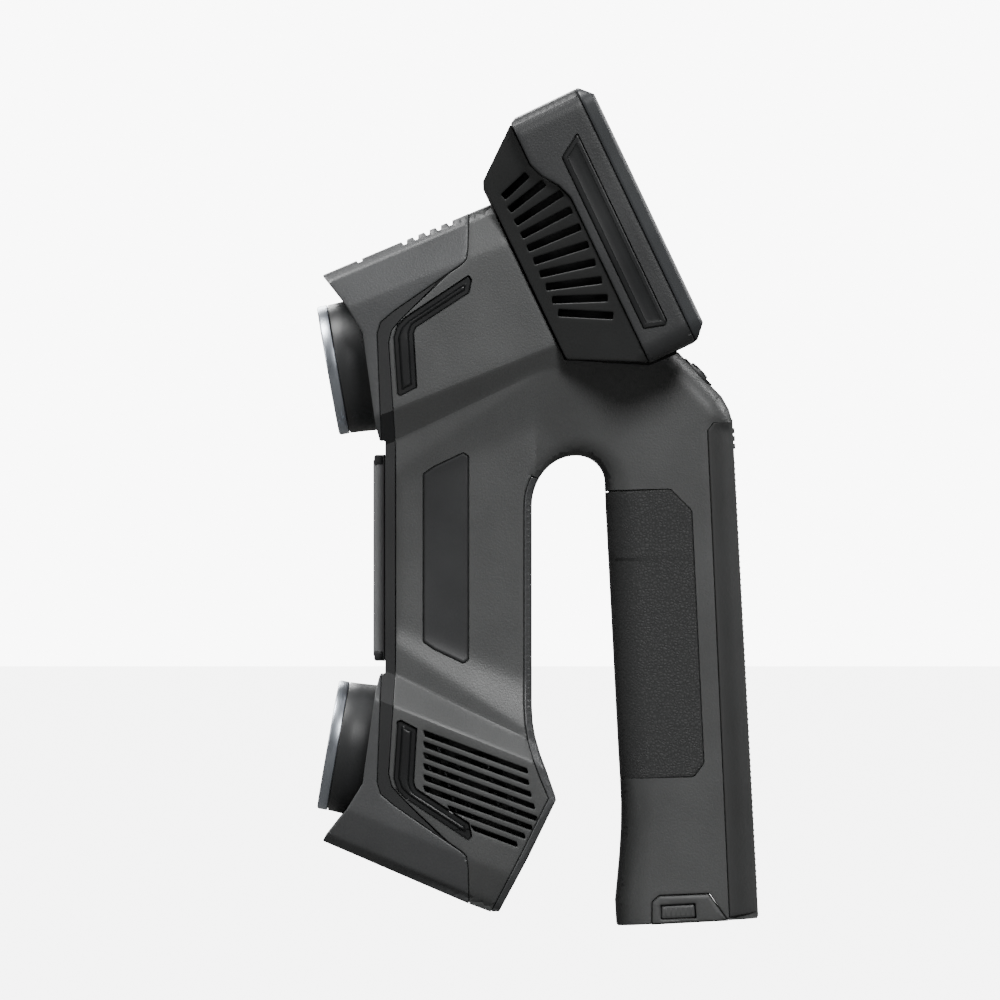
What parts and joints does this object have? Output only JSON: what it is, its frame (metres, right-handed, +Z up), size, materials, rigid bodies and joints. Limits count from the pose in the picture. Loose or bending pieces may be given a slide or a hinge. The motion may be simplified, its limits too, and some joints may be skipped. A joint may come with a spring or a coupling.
{
  "type": "handheld 3d scanner",
  "caption": "Handheld 3-D scanner: two toed-in lens units on a hollow C-shaped body with a finger gap, rubber grip with slide-out battery, and a tilted display head.",
  "frame": {"origin": "bottom centre of the whole object's box, level with the foot of the grip", "axes": "+Z up along the grip, +X towards the operator and the display, lenses look along -X, +Y to the side"},
  "size_m": [0.1816, 0.132, 0.3424],
  "materials": {
    "shell_plastic": "textured moulded polycarbonate blend, mid grey",
    "dark_trim": "satin moulded plastic, near black",
    "black_plastic": "matte moulded plastic, black",
    "grip_rubber": "leather-grained soft-touch rubber",
    "lens_silver": "turned and anodised ring",
    "window_glass": "dark tinted glass",
    "machined_aluminium": "machined",
    "circuit_board": "green solder mask",
    "battery_wrap": "shrink wrap"
  },
  "bodies": {
    "scanner": {"shell_left": "shell_plastic", "shell_right": "shell_plastic", "rear_cover": "shell_plastic", "visor_upper": "shell_plastic", "visor_lower": "shell_plastic", "head_frame": "shell_plastic", "projector_bezel": "shell_plastic", "nameplate_left": "dark_trim", "nameplate_right": "dark_trim", "trim_upper_left": "dark_trim", "trim_upper_right": "dark_trim", "trim_lower_left": "dark_trim", "trim_lower_right": "dark_trim", "head_trim_left": "dark_trim", "head_trim_right": "dark_trim", "keypad_frame": "dark_trim", "head_bezel": "dark_trim", "front_cover": "black_plastic", "lens_barrel_upper": "black_plastic", "lens_barrel_lower": "black_plastic", "head_front_housing": "black_plastic", "camera_upper": "black_plastic", "camera_lower": "black_plastic", "texture_camera": "black_plastic", "display_panel": "black_plastic", "head_fan_frame": "black_plastic", "body_fan_frame": "black_plastic", "battery_contacts": "black_plastic", "grip_pad": "grip_rubber", "rear_strip": "grip_rubber", "lens_ring_upper": "lens_silver", "lens_ring_lower": "lens_silver", "projector_window": "window_glass", "ring_glass_upper": "window_glass", "ring_glass_lower": "window_glass", "display_glass": "window_glass", "camera_bar": "machined_aluminium", "heatsink": "machined_aluminium", "laser_module_upper": "machined_aluminium", "laser_module_lower": "machined_aluminium", "head_screw_upper_left": "machined_aluminium", "head_screw_upper_right": "machined_aluminium", "head_screw_lower_left": "machined_aluminium", "head_screw_lower_right": "machined_aluminium", "main_board": "circuit_board", "power_board": "circuit_board", "display_board": "circuit_board", "keypad_board": "circuit_board", "led_board_upper": "circuit_board", "led_board_lower": "circuit_board"},
    "battery": {"battery_pack": "battery_wrap", "battery_cap": "shell_plastic"},
    "left_latch": {"latch_left": "shell_plastic"},
    "right_latch": {"latch_right": "shell_plastic"},
    "scan_key": {"scan_button": "dark_trim"},
    "up_key": {"up_button": "dark_trim"},
    "down_key": {"down_button": "dark_trim"},
    "head_fan_wheel": {"head_fan_impeller": "black_plastic"},
    "body_fan_wheel": {"body_fan_impeller": "black_plastic"}
  },
  "joints": [
    {"name": "battery_slide", "type": "slide", "parent": "scanner", "child": "battery", "axis": [0.0523, 0, -0.9986], "range_m": [0, 0.165]},
    {"name": "left_latch_press", "type": "slide", "parent": "battery", "child": "left_latch", "axis": [0, 1, 0], "range_m": [0, 0.0012], "stiffness_N_per_m": 900, "springref_m": -0.0012},
    {"name": "right_latch_press", "type": "slide", "parent": "battery", "child": "right_latch", "axis": [0, -1, 0], "range_m": [0, 0.0012], "stiffness_N_per_m": 900, "springref_m": -0.0012},
    {"name": "scan_key_press", "type": "slide", "parent": "scanner", "child": "scan_key", "axis": [-0.7129, 0, -0.7012], "range_m": [0, 0.001], "stiffness_N_per_m": 1500, "springref_m": -0.0008},
    {"name": "up_key_press", "type": "slide", "parent": "scanner", "child": "up_key", "axis": [-0.7129, 0, -0.7012], "range_m": [0, 0.001], "stiffness_N_per_m": 1500, "springref_m": -0.0008},
    {"name": "down_key_press", "type": "slide", "parent": "scanner", "child": "down_key", "axis": [-0.7129, 0, -0.7012], "range_m": [0, 0.001], "stiffness_N_per_m": 1500, "springref_m": -0.0008},
    {"name": "head_fan_spin", "type": "hinge", "parent": "scanner", "child": "head_fan_wheel", "pos_m": [0.00535, 0, 0.27444], "axis": [0.9026, 0, 0.4305], "continuous": true},
    {"name": "body_fan_spin", "type": "hinge", "parent": "scanner", "child": "body_fan_wheel", "pos_m": [-0.02605, -0.0335, 0.0582], "axis": [0, -1, 0], "continuous": true}
  ]
}
